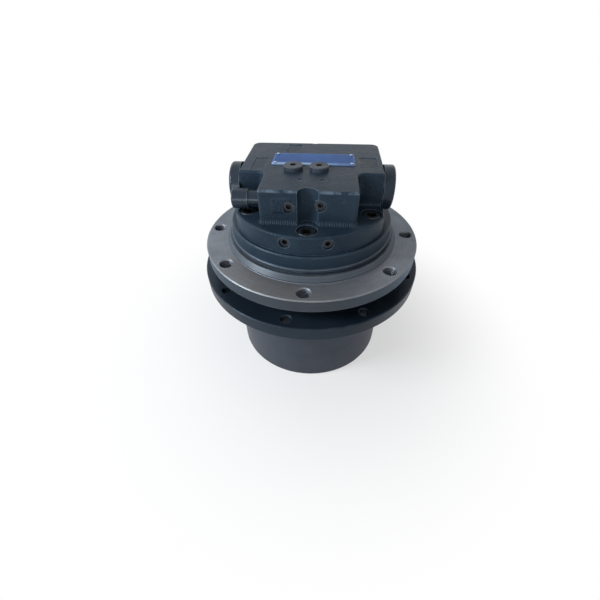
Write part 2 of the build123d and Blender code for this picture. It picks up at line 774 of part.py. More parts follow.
with BuildPart() as shaft_bearing:
    ring(bearing_od_r - seat_gap, shaft_seal_r + run_gap, bearing_pocket_z, bearing_top)

with BuildPart() as shaft_needle_bearing:
    ring(shaft_top_r + needle_t, shaft_top_r + run_gap, spigot_z, journal_top)

# Cylinder barrel, pistons, shoes and retainer: the rotating group
barrel_port_r = piston_r / 2
with BuildPart() as cylinder_barrel:
    ring(barrel_r, shaft_spline_r + seat_gap, barrel_z, barrel_top)
    with BuildSketch(Plane.XY.offset(barrel_z)):
        with PolarLocations(piston_pitch_r, piston_count):
            Circle(piston_r + run_gap)
    extrude(amount=barrel_l - barrel_port_l, mode=Mode.SUBTRACT)
    with BuildSketch(Plane.XY.offset(barrel_top)):
        with PolarLocations(piston_pitch_r, piston_count):
            Circle(barrel_port_r)
    extrude(amount=-barrel_port_l, mode=Mode.SUBTRACT)

with BuildPart() as pistons:
    with BuildSketch(Plane.XY.offset(shoe_z + shoe_t)):
        with PolarLocations(piston_pitch_r, piston_count):
            Circle(piston_r)
    extrude(amount=barrel_z + piston_depth - shoe_z - shoe_t)

with BuildPart() as piston_shoes:
    with BuildSketch(Plane.XY.offset(shoe_z)):
        with PolarLocations(piston_pitch_r, piston_count):
            Circle(shoe_r)
    extrude(amount=shoe_t)

retainer_z = shoe_z + shoe_t + seat_gap
with BuildPart() as shoe_retainer:
    retainer_r = piston_pitch_r + shoe_r + retainer_rim
    ring(retainer_r, shaft_spline_r + seat_gap, retainer_z, retainer_z + retainer_t)
    with BuildSketch(Plane.XY.offset(retainer_z)):
        with PolarLocations(piston_pitch_r, piston_count):
            Circle(piston_r + seat_gap)
    extrude(amount=retainer_t, mode=Mode.SUBTRACT)

kidneys = [CenterArc((0, 0), piston_pitch_r, side - kidney_angle, 2 * kidney_angle) for side in (0, 180)]
with BuildPart() as valve_plate:
    ring(valve_plate_r, valve_plate_bore_r, barrel_top, spigot_z)
    with BuildSketch(Plane.XY.offset(barrel_top)):
        for kidney in kidneys:
            SlotArc(kidney, kidney_w)
    extrude(amount=valve_plate_t, mode=Mode.SUBTRACT)

# Swash plate: tilts on two balls, pushed to second speed by one piston in the casing's floor
def tilted_plane(level, tilt):
    return Plane((0, 0, level), x_dir=(1, 0, 0), z_dir=(0, sin(tilt), cos(tilt)))


tilt_travel = radians(swash_angle - second_speed_angle)
with BuildPart() as swash_plate:
    with BuildSketch(Plane.XY.offset(cavity_floor)):
        Circle(swash_r)
        Circle(swash_bore_r, mode=Mode.SUBTRACT)
    extrude(amount=shoe_z - cavity_floor)
    split(bisect_by=tilted_plane(swash_mid, radians(swash_angle)), keep=Keep.BOTTOM)
    split(bisect_by=tilted_plane(ball_z, 0), keep=Keep.TOP)
    split(bisect_by=tilted_plane(ball_z, tilt_travel), keep=Keep.TOP)
    for x in (-swash_ball_x, swash_ball_x):
        with Locations((x, 0, ball_z)):
            Sphere(swash_ball_r + 2 * run_gap, mode=Mode.SUBTRACT)

with BuildPart() as swash_balls:
    for x in (-swash_ball_x, swash_ball_x):
        with Locations((x, 0, ball_z)):
            Sphere(swash_ball_r)

# Parking brake: plates between barrel and casing, a piston and its springs under the cover
stack_z = [brake_ledge + seat_gap + k * (plate_t + plate_gap) for k in range(2 * friction_count + 2)]
with BuildPart() as separator_plates:
    for level in stack_z[0:2 * friction_count + 1:2]:
        ring(brake_cavity_r - seat_gap, separator_inner_r, level, level + plate_t)
with BuildPart() as friction_plates:
    for level in stack_z[1:2 * friction_count + 1:2]:
        ring(friction_r, barrel_r + seat_gap, level, level + plate_t)

brake_piston_z = stack_z[-1]
spring_pocket = brake_piston_h / 2
spring_pitch_r = (brake_cavity_r + separator_inner_r) / 2
with BuildPart() as brake_piston:
    ring(brake_cavity_r - run_gap, separator_inner_r, brake_piston_z, brake_piston_z + brake_piston_h)
    with BuildSketch(Plane.XY.offset(brake_piston_z + brake_piston_h)):
        with PolarLocations(spring_pitch_r, brake_spring_count):
            Circle(brake_spring_r + 2 * run_gap)
    extrude(amount=-spring_pocket, mode=Mode.SUBTRACT)

spring_seat = brake_piston_z + brake_piston_h - spring_pocket
spring_angles = [360 * k / brake_spring_count for k in range(brake_spring_count)]
with BuildPart() as brake_springs:
    for x, y, z in spots(spring_pitch_r, spring_angles, spring_seat):
        coil((x, y, z), (x, y, spigot_z), brake_spring_r, brake_wire_r, brake_spring_turns)

# Piston that pushes the swash plate over to second speed
with BuildPart() as tilt_piston:
    disc(Plane((0, tilt_piston_y, cavity_floor)), tilt_piston_r, tilt_piston_l)
    fillet(tilt_piston.edges().sort_by(Axis.Z)[-1], tilt_piston_dome)

# Rear cover: round flange with two side flats, and the valve block cast onto it
rivet_spots = [
    (x + inset_x, y + inset_y)
    for x, inset_x in zip(plate_x, (rivet_inset, -rivet_inset))
    for y, inset_y in zip(plate_y, (rivet_inset, -rivet_inset))
]
block_outline = (
    (-block_half, block_back), (-block_half, -notch_back), (-block_front_half, -notch_back),
    (-block_front_half, -block_front), (block_front_half, -block_front), (block_front_half, -notch_back),
    (block_half, -notch_back), (block_half, block_back),
)
with BuildPart() as rear_cover:
    with BuildSketch(Plane.XY.offset(joint_z)):
        Circle(cover_r)
        Rectangle(2 * cover_flat, 2 * cover_r, mode=Mode.INTERSECT)
    extrude(amount=cover_flange_t)
    fillet(rear_cover.edges().group_by(Axis.Z)[-1], cover_edge)
    with BuildSketch(Plane.XY.offset(flange_top - overhang_drop)):
        with BuildLine():
            Polyline(*block_outline, close=True)
        make_face()
        inner = vertices().group_by(Axis.Y)[1]
        fillet(inner.filter_by(lambda v: abs(v.X) < block_front_half + overcut), notch_corner)
        fillet(vertices().group_by(Axis.Y)[-1], block_corner)
        fillet(vertices().group_by(Axis.Y)[0], front_edge)
    extrude(amount=block_h + overhang_drop)
    foot = rear_cover.edges().filter_by_position(Axis.Z, flange_top - seat_gap, flange_top + seat_gap)
    foot = foot.filter_by(lambda e: e.center().Y < -notch_back + seat_gap)
    foot = foot.filter_by(lambda e: abs(e.center().X) < block_half)
    fillet(foot, block_foot)
    ring(brake_cavity_r - seat_gap, 0, spigot_z, joint_z)
    fillet(rear_cover.edges().group_by(Axis.Z)[-1], block_edge)
    for x, y, width, length in recesses:
        with Locations((x, y, block_top)):
            Box(width, length, 2 * recess_depth, mode=Mode.SUBTRACT)
    ring(shaft_top_r + needle_t + seat_gap, 0, spigot_z, journal_top + needle_pocket_gap, mode=Mode.SUBTRACT)

    # Screws, with the channel in the front wall and the roofed pocket behind the block
    pocket_top = flange_top + rear_pocket_up
    for x, y, z in spots(screw_pcd / 2, screw_angles, pocket_top):
        disc(Plane((x, y, z)), counterbore_r, pocket_top - screw_seat, mode=Mode.SUBTRACT)
        disc(Plane((x, y, screw_seat)), screw_r + seat_gap, screw_seat - joint_z, mode=Mode.SUBTRACT)
    disc(Plane((0, channel_y, block_top)), channel_r, block_h, mode=Mode.SUBTRACT)
    disc(Plane((0, screw_pcd / 2, block_top)), rear_key_r, block_h, mode=Mode.SUBTRACT)

    # Counterbalance bore with its two threaded mouths, and the relief round the caps' heads
    side_rod(spool_r, -valve_thread_end, valve_thread_end, 0, valve_z, mode=Mode.SUBTRACT)
    for side in (-1, 1):
        mouth_r = valve_thread_r + seat_gap
        side_rod(mouth_r, side * valve_thread_end, side * valve_cap_in, 0, valve_z, mode=Mode.SUBTRACT)
        relief_r = valve_cap_r + valve_cap_gap
        side_rod(relief_r, side * block_half, side * valve_cap_out, 0, valve_z, mode=Mode.SUBTRACT)

    # Two-speed bore with its threaded mouth in the left notch
    side_rod(shift_spool_r + run_gap, -block_front_half, shift_bore_end, shift_y, shift_z, mode=Mode.SUBTRACT)
    mouth_r = shift_thread_r + seat_gap
    side_rod(mouth_r, -block_front_half, -shift_thread_end, shift_y, shift_z, mode=Mode.SUBTRACT)

    # Kidney passages up to the counterbalance bore, and the ports in the back
    for side in (-1, 1):
        drill((side * piston_pitch_r, 0, spigot_z), (side * piston_pitch_r, 0, valve_z), kidney_passage_r)
        mouth = Plane((side * port_x, block_back, flange_top + port_up), z_dir=(0, 1, 0))
        disc(mouth, port_face_r, port_face_depth, mode=Mode.SUBTRACT)
        disc(mouth, port_r, port_l, mode=Mode.SUBTRACT)
        disc(mouth, port_passage_r, block_back, mode=Mode.SUBTRACT)
    drain = Plane((drain_x, block_back, flange_top + port_up), z_dir=(0, 1, 0))
    disc(drain, drain_face_r, port_face_depth, mode=Mode.SUBTRACT)
    disc(drain, drain_r, drain_l, mode=Mode.SUBTRACT)
    drain_z = flange_top + port_up
    drill((drain_x, block_back - drain_l, drain_z), (*drain_foot, drain_z), passage_r)
    drill((*drain_foot, drain_z), (*drain_foot, spigot_z), passage_r)

    # Seats of the plugs and rivets
    for x in top_plug_x:
        mouth = Plane((x, top_plug_y, block_top))
        disc(mouth, top_plug_thread_r + seat_gap, top_plug_thread_l, mode=Mode.SUBTRACT)
        drill((x, top_plug_y, block_top), (x, top_plug_y, valve_z), passage_r)
    for x in pin_plug_x:
        with Locations((x, shift_y, block_top)):
            CounterSinkHole(pin_plug_r + seat_gap, pin_plug_r + pin_hole_edge, pin_plug_sink + pin_plug_l)
        drill((x, shift_y, block_top), (x, shift_y, shift_z), pin_passage_r)
    for x, up in zip(front_plug_x, front_plug_up):
        face = Plane((x, -block_front, flange_top + up), z_dir=(0, -1, 0))
        disc(face, hex_plug_r + seat_gap, front_plug_sink + hex_plug_l, mode=Mode.SUBTRACT)
        disc(face, passage_r, block_front + shift_y, mode=Mode.SUBTRACT)
    for spot in spots(cover_r, rim_plug_angles, joint_z + rim_plug_up):
        rim = Plane(spot, z_dir=(spot[0], spot[1], 0))
        disc(rim, hex_plug_r + seat_gap, rim_plug_sink + hex_plug_l, mode=Mode.SUBTRACT)
    for spot in rivet_spots:
        disc(Plane((*spot, block_top)), rivet_hole_r + seat_gap, rivet_l, mode=Mode.SUBTRACT)

with BuildPart() as cover_screws:
    for x, y, z in spots(screw_pcd / 2, screw_angles, screw_seat):
        top = Plane((x, y, screw_seat + screw_head_h))
        disc(top, screw_head_r, screw_head_h)
        disc(Plane((x, y, screw_seat)), screw_r, screw_l)
    rims = cover_screws.edges().filter_by(GeomType.CIRCLE).group_by(Axis.Z)[-1]
    chamfer(rims, hole_chamfer)
    for x, y, z in spots(screw_pcd / 2, screw_angles, screw_seat + screw_head_h):
        hex_socket(Plane((x, y, z)), screw_hex, screw_head_h / 2)

with BuildPart() as top_plugs:
    for x in top_plug_x:
        disc(Plane((x, top_plug_y, block_top + top_plug_h)), top_plug_r, top_plug_h)
    chamfer(top_plugs.edges().group_by(Axis.Z)[-1], top_plug_edge)
    for x in top_plug_x:
        disc(Plane((x, top_plug_y, block_top)), top_plug_thread_r, top_plug_thread_l)
        hex_socket(Plane((x, top_plug_y, block_top + top_plug_h)), top_plug_hex, top_plug_h)

with BuildPart() as hex_plugs:
    for x, up in zip(front_plug_x, front_plug_up):
        face = Plane((x, -block_front + front_plug_sink, flange_top + up), z_dir=(0, -1, 0))
        disc(face, hex_plug_r, hex_plug_l)
        hex_socket(face, hex_plug_size, hex_plug_l / 2)
    for spot in spots(cover_r - rim_plug_sink, rim_plug_angles, joint_z + rim_plug_up):
        face = Plane(spot, z_dir=(spot[0], spot[1], 0))
        disc(face, hex_plug_r, hex_plug_l)
        hex_socket(face, hex_plug_size, hex_plug_l / 2)
    for x in pin_plug_x:
        disc(Plane((x, shift_y, block_top - pin_plug_sink)), pin_plug_r, pin_plug_l)

with BuildPart() as nameplate:
    with BuildSketch(Plane.XY.offset(block_top)):
        with Locations(((plate_x[0] + plate_x[1]) / 2, (plate_y[0] + plate_y[1]) / 2)):
            RectangleRounded(plate_x[1] - plate_x[0], plate_y[1] - plate_y[0], plate_corner)
        with Locations(*rivet_spots):
            Circle(rivet_hole_r + seat_gap, mode=Mode.SUBTRACT)
    extrude(amount=plate_sheet)

with BuildPart() as nameplate_rivets:
    for spot in rivet_spots:
        disc(Plane((*spot, block_top + plate_sheet)), rivet_hole_r, rivet_l + plate_sheet)
        disc(Plane((*spot, block_top + plate_sheet + rivet_head_t)), rivet_r, rivet_head_t)

# Counterbalance valve: one spool between two springs, closed by two large caps
with BuildPart() as counterbalance_caps:
    for side in (-1, 1):
        side_rod(valve_cap_r, side * valve_cap_in, side * valve_cap_out, 0, valve_z)
        side_rod(valve_thread_r, side * valve_thread_end, side * valve_cap_in, 0, valve_z)
    fillet(counterbalance_caps.edges().filter_by(GeomType.CIRCLE).group_by(Axis.X)[0], valve_cap_edge)
    fillet(counterbalance_caps.edges().filter_by(GeomType.CIRCLE).group_by(Axis.X)[-1], valve_cap_edge)
    for side in (-1, 1):
        hex_socket(Plane((side * valve_cap_out, 0, valve_z), z_dir=(side, 0, 0)), valve_hex, valve_hex_depth)

with BuildPart() as counterbalance_spool:
    side_rod(spool_r - run_gap, -spool_half, spool_half, 0, valve_z)
    for side in (-1, 1):
        with BuildSketch(Plane.YZ.offset(side * (spool_half - spool_land))):
            with Locations((0, valve_z)):
                Circle(spool_r)
                Circle(spool_waist_r, mode=Mode.SUBTRACT)
        extrude(amount=-side * spool_land, mode=Mode.SUBTRACT)


def valve_spring(side):
    inner_end = (side * spool_half, 0, valve_z)
    outer_end = (side * valve_thread_end, 0, valve_z)
    coil(inner_end, outer_end, valve_spring_r, valve_wire_r, valve_spring_turns)


with BuildPart() as counterbalance_spring_left:
    valve_spring(-1)
with BuildPart() as counterbalance_spring_right:
    valve_spring(1)

# Two-speed valve: a spool held against its cap by a spring
spool_end = shift_spool_l - shift_thread_end
with BuildPart() as shift_valve_cap:
    side_rod(shift_cap_r, -shift_cap_out, -shift_cap_in, shift_y, shift_z)
    side_rod(shift_collar_r, -shift_cap_in, -block_front_half, shift_y, shift_z)
    side_rod(shift_thread_r, -block_front_half, -shift_thread_end, shift_y, shift_z)
    fillet(shift_valve_cap.edges().filter_by(GeomType.CIRCLE).group_by(Axis.X)[0], shift_cap_edge)
    hex_socket(Plane((-shift_cap_out, shift_y, shift_z), z_dir=(-1, 0, 0)), shift_hex, shift_hex_depth)

with BuildPart() as shift_spool:
    side_rod(shift_spool_r, -shift_thread_end, spool_end, shift_y, shift_z)

with BuildPart() as shift_spring:
    coil(
        (spool_end, shift_y, shift_z), (shift_bore_end, shift_y, shift_z), shift_spool_r, shift_wire_r,
        shift_spring_turns,
    )

pieces = {
    "motor_casing": motor_casing,
    "rear_cover": rear_cover,
    "cover_screws": cover_screws,
    "cover_seal": casing_seal,
    "counterbalance_caps": counterbalance_caps,
    "counterbalance_spool": counterbalance_spool,
    "counterbalance_spring_left": counterbalance_spring_left,
    "counterbalance_spring_right": counterbalance_spring_right,
    "shift_valve_cap": shift_valve_cap,
    "shift_spool": shift_spool,
    "shift_spring": shift_spring,
    "top_plugs": top_plugs,
    "hex_plugs": hex_plugs,
    "nameplate": nameplate,
    "nameplate_rivets": nameplate_rivets,
    "hub": hub,
    "ring_gear": ring_gear,
    "end_cover": end_cover,
    "thrust_pad": thrust_pad,
    "end_cover_seal": end_cover_seal,
    "retaining_ring": retaining_ring,
    "oil_plugs": oil_plugs,
    "bearing_inner_rings": bearing_inner_rings,
    "bearing_outer_rings": bearing_outer_rings,
    "bearing_rollers": bearing_rollers,
    "bearing_cages": bearing_cages,
    "bearing_nut": bearing_nut,
    "seal_ring_casing": seal_ring_casing,
    "seal_ring_hub": seal_ring_hub,
    "seal_rubber_casing": seal_rubber_casing,
    "seal_rubber_hub": seal_rubber_hub,
    "first_sun_gear": first_sun_gear,
    "first_carrier": first_carrier,
    "first_planet_pins": first_planet_pins,
    "first_needle_bearings": first_needle_bearings,
    "second_sun_gear": second_sun_gear,
    "second_planet_pins": second_planet_pins,
    "second_needle_bearings": second_needle_bearings,
    "motor_shaft": motor_shaft,
    "shaft_bearing": shaft_bearing,
    "shaft_seal": shaft_seal,
    "shaft_needle_bearing": shaft_needle_bearing,
    "cylinder_barrel": cylinder_barrel,
    "pistons": pistons,
    "piston_shoes": piston_shoes,
    "shoe_retainer": shoe_retainer,
    "valve_plate": valve_plate,
    "swash_plate": swash_plate,
    "swash_balls": swash_balls,
    "tilt_piston": tilt_piston,
    "separator_plates": separator_plates,
    "friction_plates": friction_plates,
    "brake_piston": brake_piston,
    "brake_springs": brake_springs,
}
for letter, first, second in zip("abc", first_planets, second_planets):
    pieces[f"first_planet_gear_{letter}"] = first
    pieces[f"second_planet_gear_{letter}"] = second

os.makedirs("parts", exist_ok=True)
for label, piece in pieces.items():
    piece.part.label = label
    export_step(piece.part, f"parts/{label}.step")
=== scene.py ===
import math

import bmesh
import bpy
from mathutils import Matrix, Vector


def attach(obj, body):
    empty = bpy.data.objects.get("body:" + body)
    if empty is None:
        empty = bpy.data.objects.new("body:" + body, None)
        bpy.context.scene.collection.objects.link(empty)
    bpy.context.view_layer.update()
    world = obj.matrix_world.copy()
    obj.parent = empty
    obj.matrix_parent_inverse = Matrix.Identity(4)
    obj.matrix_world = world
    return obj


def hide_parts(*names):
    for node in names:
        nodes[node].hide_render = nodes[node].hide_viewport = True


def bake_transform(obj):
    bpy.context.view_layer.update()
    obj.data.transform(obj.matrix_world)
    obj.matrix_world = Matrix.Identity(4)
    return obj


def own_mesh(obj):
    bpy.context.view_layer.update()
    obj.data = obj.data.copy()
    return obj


# Excavator final drive on a pale floor, lit softly and seen as in the reference photograph.
# Lengths are in metres and colours are linear.
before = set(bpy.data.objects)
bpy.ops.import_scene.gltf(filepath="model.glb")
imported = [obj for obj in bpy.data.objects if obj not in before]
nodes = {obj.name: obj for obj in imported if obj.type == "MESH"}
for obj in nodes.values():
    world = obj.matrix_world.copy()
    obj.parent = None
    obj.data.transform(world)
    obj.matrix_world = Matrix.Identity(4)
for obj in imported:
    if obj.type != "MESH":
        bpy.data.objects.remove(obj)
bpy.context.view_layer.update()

# Heights of the solids' faces, the place of the block's front wall and the frame flange's radius
SPROCKET_LOW = 0.1145
FRAME_UNDER = 0.148
PILOT_TOP = 0.165
CONE_TOP = 0.1695
LIP_LOW = 0.1721
LIP_TOP = 0.1745
FLANGE_TOP = 0.208
BLOCK_TOP = 0.242
BLOCK_FRONT = -0.0636
FRAME_RADIUS = 0.125

# Pitches of the marks that repeat
FOOT_PITCH = 0.0021
THREAD_PITCH = 0.00175
CASING_TURNING = 0.00045
HUB_TURNING = 0.0006
END_COVER_TURNING = 0.0006
PLUG_TURNING = 0.0004

# Edges of the nameplate's flat field, inside its worn rim
PLATE_FIELD_X = (-0.0415, 0.0435)
PLATE_FIELD_Y = (0.0005, 0.0302)

# Tint of the paints' highlights
COOL = (0.5, 0.76, 1.0, 1.0)

CAMERA_PLACE = (0.018385, -0.335464, 0.366332)
CAMERA_TURN_DEG = (46.36796, 0.60651, 5.05344)
CAMERA_LENS_MM = 18.776
LAMP_TARGET = (0.0, 0.0, 0.15)
WORLD_LIGHT = 0.25

FLOOR_RADIUS = 9.0
FLOOR_DROP = 0.0002
# Seen directly, the floor is partly plain white. That share rises from the least one to 1 between
# these two distances from the origin.
FLOOR_LEAST_WHITE = 0.55
FLOOR_RISE_FROM = 0.1
FLOOR_RISE_TO = 0.34


# ---------------------------------------------------------------- materials


class Graph:
    """A material's node tree, with short calls for the nodes that repeat."""

    SOCKETS = {
        "colour": "Base Color", "rough": "Roughness", "metal": "Metallic", "normal": "Normal",
        "specular": "Specular IOR Level", "tint": "Specular Tint", "aniso": "Anisotropic",
        "tangent": "Tangent", "coat": "Coat Weight", "coat_rough": "Coat Roughness",
        "coat_normal": "Coat Normal",
    }

    def __init__(self, name):
        self.material = bpy.data.materials.new(name)
        self.material.use_nodes = True
        self.tree = self.material.node_tree
        self.shader = self.tree.nodes["Principled BSDF"]
        self.place = self.tree.nodes.new("ShaderNodeTexCoord").outputs["Object"]
        self.normal = self.tree.nodes.new("ShaderNodeNewGeometry").outputs["Normal"]

    def link(self, value, socket):
        """Link a socket's output, or set a plain number or colour."""
        if isinstance(value, bpy.types.NodeSocket):
            self.tree.links.new(value, socket)
        else:
            socket.default_value = value

    def math(self, kind, a, b=None):
        node = self.tree.nodes.new("ShaderNodeMath")
        node.operation = kind
        for value, socket in zip((a, b), node.inputs):
            if value is not None:
                self.link(value, socket)
        return node.outputs[0]

    def add(self, a, b):
        return self.math("ADD", a, b)

    def times(self, a, b):
        return self.math("MULTIPLY", a, b)

    def between(self, factor, a, b):
        return self.add(a, self.times(factor, self.math("SUBTRACT", b, a)))

    def axes(self, vector=None):
        split = self.tree.nodes.new("ShaderNodeSeparateXYZ")
        self.link(vector or self.place, split.inputs[0])
        return split.outputs["X"], split.outputs["Y"], split.outputs["Z"]

    def combine(self, x, y, z):
        node = self.tree.nodes.new("ShaderNodeCombineXYZ")
        for value, socket in zip((x, y, z), node.inputs):
            self.link(value, socket)
        return node.outputs[0]

    def stretched(self, scale):
        """The place with a scale of its own for each axis."""
        return self.combine(*(self.times(a, s) for a, s in zip(self.axes(), scale)))

    def radius(self):
        """Distance from the Z axis."""
        x, y = self.axes()[:2]
        return self.math("SQRT", self.add(self.times(x, x), self.times(y, y)))

    def noise(self, scale, detail=4.0, rough=0.55, at=None):
        node = self.tree.nodes.new("ShaderNodeTexNoise")
        node.inputs["Scale"].default_value = scale
        node.inputs["Detail"].default_value = detail
        node.inputs["Roughness"].default_value = rough
        self.link(at or self.place, node.inputs["Vector"])
        return node.outputs["Fac"]

    def cells(self, scale):
        node = self.tree.nodes.new("ShaderNodeTexVoronoi")
        node.inputs["Scale"].default_value = scale
        self.link(self.place, node.inputs["Vector"])
        return node.outputs["Distance"]

    def rings(self, pitch):
        """Fine turning marks round Z."""
        across = self.math("DIVIDE", self.radius(), pitch)
        up = self.math("DIVIDE", self.axes()[2], pitch)
        return self.noise(1.0, 2, 0.5, at=self.combine(across, up, 0.0))

    def wavy(self, value, scale, size):
        """The value moved to and fro by noise, so that a border that follows it isn't straight."""
        shift = self.math("SUBTRACT", self.noise(scale), 0.5)
        return self.add(value, self.times(shift, size))

    def spread(self, value, low, high, to_low=0.0, to_high=1.0):
        """The value's range from low to high laid over another one, and held at its ends."""
        node = self.tree.nodes.new("ShaderNodeMapRange")
        node.clamp = True
        for socket, number in zip(list(node.inputs)[1:5], (low, high, to_low, to_high)):
            socket.default_value = number
        self.link(value, node.inputs[0])
        return node.outputs[0]

    def band(self, value, low, high, soft):
        """1 between low and high, falling to 0 over the soft width on each side."""
        rise = self.spread(value, low - soft, low + soft)
        return self.times(rise, self.spread(value, high - soft, high + soft, 1.0, 0.0))

    def mix(self, factor, a, b):
        node = self.tree.nodes.new("ShaderNodeMix")
        node.data_type = "RGBA"
        self.link(factor, node.inputs[0])
        for value, socket in ((a, node.inputs[6]), (b, node.inputs[7])):
            self.link(value if isinstance(value, bpy.types.NodeSocket) else (*value, 1.0), socket)
        return node.outputs[2]

    def over(self, tint, colour, mask, most):
        """The colour laid over the tint by the mask, at most by the share in most."""
        return self.mix(self.times(mask, most), tint, colour)

    def bump(self, height, depth, strength, after=None):
        node = self.tree.nodes.new("ShaderNodeBump")
        node.inputs["Strength"].default_value = strength
        node.inputs["Distance"].default_value = depth
        self.link(height, node.inputs["Height"])
        if after is not None:
            self.link(after, node.inputs["Normal"])
        return node.outputs[0]

    def edges(self, radius):
        """Near 1 on outer edges, by how far a rounded normal leaves the true one."""
        node = self.tree.nodes.new("ShaderNodeBevel")
        node.samples = 4
        node.inputs["Radius"].default_value = radius
        dot = self.tree.nodes.new("ShaderNodeVectorMath")
        dot.operation = "DOT_PRODUCT"
        self.tree.links.new(node.outputs[0], dot.inputs[0])
        self.tree.links.new(self.normal, dot.inputs[1])
        away = self.math("SUBTRACT", 1.0, dot.outputs["Value"])
        return self.spread(away, 0.01, 0.16)

    def round_z(self):
        """The tangent that runs round Z, for highlights on turned steel."""
        node = self.tree.nodes.new("ShaderNodeTangent")
        node.direction_type = "RADIAL"
        node.axis = "Z"
        return node.outputs[0]

    def set(self, **sockets):
        for key, value in sockets.items():
            self.link(value, self.shader.inputs[self.SOCKETS[key]])
        return self.material

    def paint(self, colour, rough, skin, specular, coat, coat_rough):
        """The finished material as paint under a thin clear coat."""
        return self.set(
            colour=colour, rough=rough, normal=skin, coat_normal=skin, metal=0.0,
            specular=specular, tint=COOL, coat=coat, coat_rough=coat_rough,
        )


def cast(g, dark, light, grain, rough, dust, wear_and_highlight):
    """Colour, roughness and normal of painted casting: peel, pits, dust, scuffs, and rubbed edges
    lightened partly as painted highlights.
    """
    dust_grey = (0.09, 0.11, 0.14)
    broad = g.noise(18, 3)
    fine = g.noise(420, 5, 0.6)
    pits = g.cells(260)
    tint = g.mix(g.spread(broad, 0.3, 0.72), dark, light)
    dusty = g.times(g.spread(g.noise(60, 6, 0.7), 0.55, 0.8), dust)
    tint = g.over(tint, dust_grey, dusty, 0.25)
    scuff = g.noise(1.0, 5, 0.7, at=g.stretched((70.0, 260.0, 180.0)))
    tint = g.over(tint, wear_and_highlight, g.spread(scuff, 0.64, 0.78), 0.35 * dust)
    # Edges lightened with the scuff colour, partly as rubbed paint and partly as painted
    # highlights
    edge = g.times(g.edges(0.0014), g.spread(g.noise(130, 5, 0.65), 0.3, 0.54))
    tint = g.over(tint, wear_and_highlight, edge, 0.75)
    broad_rough = g.spread(broad, 0.3, 0.75, rough - 0.07, rough + 0.1)
    roughness = g.add(broad_rough, g.times(dusty, 0.2))
    skin = g.bump(fine, 0.0006 * grain, 0.45)
    skin = g.bump(g.spread(pits, 0.0, 0.35), 0.0007 * grain, 0.3, after=skin)
    skin = g.bump(g.noise(70, 2), 0.0012 * grain, 0.35, after=skin)
    return tint, roughness, skin


def cap_skin(name):
    """Smooth, glossy cast paint of the caps, with edges lightened as painted highlights."""
    g = Graph(name)
    tint, roughness, skin = cast(
        g, dark=(0.009, 0.014, 0.023), light=(0.018, 0.027, 0.041), grain=0.3, rough=0.32,
        dust=0.35, wear_and_highlight=(0.2, 0.26, 0.34),
    )
    return g.paint(tint, roughness, skin, specular=0.12, coat=0.4, coat_rough=0.2)


def cover_skin(name):
    """Cast paint, with lumps along the block's foot, a rough field, painted highlights on the
    lumps' crests and along the front wall's upper edge, and painted shade in the cast recesses.
    """
    g = Graph(name)
    wear_and_highlight = (0.17, 0.22, 0.28)
    brow_highlight_colour = (0.2, 0.26, 0.34)
    recess_shade_colour = (0.006, 0.01, 0.016)
    tint, roughness, skin = cast(
        g, dark=(0.011, 0.020, 0.033), light=(0.024, 0.041, 0.062), grain=1.2, rough=0.44,
        dust=0.5, wear_and_highlight=wear_and_highlight,
    )
    x, y, z = g.axes()
    facing_y, facing_z = g.axes(g.normal)[1:]
    level = g.spread(facing_z, 0.85, 0.97)
    wall = g.spread(facing_z, 0.75, 0.3)

    # Upright lumps along the foot of the front wall, their crests painted lighter as highlights
    wander = g.times(g.noise(210, 4, 0.65), 7.0)
    wave = g.math("SINE", g.add(g.times(x, 2.0 * math.pi / FOOT_PITCH), wander))
    lumps = g.spread(wave, -0.5, 0.9)
    foot = g.band(z, FLANGE_TOP + 0.0002, FLANGE_TOP + 0.0031, 0.0011)
    foot = g.times(foot, g.spread(facing_z, 0.985, 0.85))
    foot = g.times(foot, g.spread(y, BLOCK_FRONT + 0.001, BLOCK_FRONT + 0.003, 1.0, 0.0))
    foot = g.times(foot, g.spread(g.noise(45, 3), 0.34, 0.46))
    tint = g.over(tint, wear_and_highlight, g.times(foot, lumps), 0.24)
    skin = g.bump(g.times(foot, lumps), 0.0014, 0.9, after=skin)

    # Painted highlight along the upper edge of the front wall, broken up by noise
    front = g.band(y, BLOCK_FRONT - 0.0006, BLOCK_FRONT + 0.0016, 0.0006)
    brow_highlight = g.times(front, g.band(z, BLOCK_TOP - 0.0022, BLOCK_TOP + 0.001, 0.0006))
    brow_highlight = g.times(brow_highlight, g.spread(g.noise(110, 4, 0.6), 0.38, 0.6))
    tint = g.over(tint, brow_highlight_colour, brow_highlight, 0.55)

    # Rough field on the left of the front wall
    field_x = g.band(x, -0.034, -0.016, 0.0012)
    field = g.times(field_x, g.band(z, FLANGE_TOP + 0.012, FLANGE_TOP + 0.026, 0.0012))
    field = g.times(g.times(field, wall), g.spread(facing_y, -0.6, -0.9))
    skin = g.bump(g.times(field, g.noise(330, 4, 0.65)), 0.0024, 0.8, after=skin)

    # Painted shade on the floors of the shallow recesses in the top
    recess_shade = g.times(g.band(z, BLOCK_TOP - 0.0032, BLOCK_TOP - 0.0005, 0.0002), level)
    tint = g.over(tint, recess_shade_colour, recess_shade, 0.7)
    return g.paint(tint, roughness, skin, specular=0.12, coat=0.1, coat_rough=0.2)


def turned(name, colour, pitch, rough, metal):
    """Lathe-turned metal: fine rings round Z, stains and small scratches."""
    g = Graph(name)
    deep = tuple(c * 0.45 for c in colour)
    rings = g.rings(pitch)
    stains = g.noise(35, 6, 0.65)
    scratch = g.noise(900, 3, 0.7)
    tint = g.mix(g.spread(stains, 0.4, 0.72), colour, deep)
    tint = g.over(tint, deep, g.spread(rings, 0.3, 0.7), 0.18)
    roughness = g.add(g.spread(stains, 0.3, 0.75, rough, rough + 0.16), g.times(scratch, 0.08))
    skin = g.bump(scratch, 0.0001, 0.4, after=g.bump(rings, 0.00012, 0.6))
    return g.set(colour=tint, rough=roughness, normal=skin, metal=metal)


